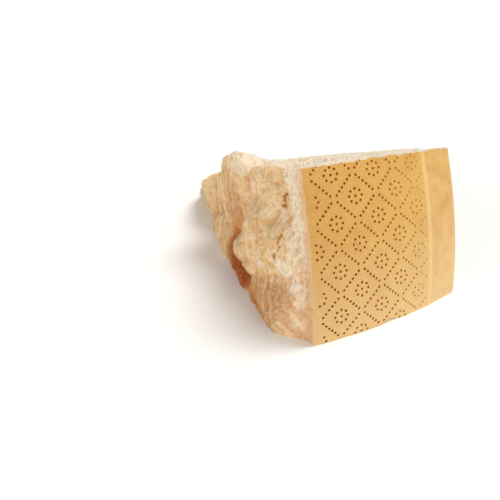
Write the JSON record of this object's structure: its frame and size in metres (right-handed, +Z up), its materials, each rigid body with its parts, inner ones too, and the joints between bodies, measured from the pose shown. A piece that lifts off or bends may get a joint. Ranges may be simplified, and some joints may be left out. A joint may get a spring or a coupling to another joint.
{
  "type": "parmesan wedge",
  "caption": "Wedge of aged hard grana cheese split by hand from a wheel: barrel rind on one side, craggy broken faces, lying on its flat cut.",
  "frame": {"origin": "middle of the footprint, on the surface that the wedge lies on", "axes": "+X along the axis of the wheel, from the broken face to the flat rind; +Y from the barrel rind to the point of the wedge; +Z up"},
  "size_m": [0.1219, 0.2227, 0.0969],
  "materials": {
    "cheese": "matt crumbly paste with a waxy golden rind"
  },
  "bodies": {
    "root": {"parmesan_wedge": "cheese"}
  },
  "joints": []
}
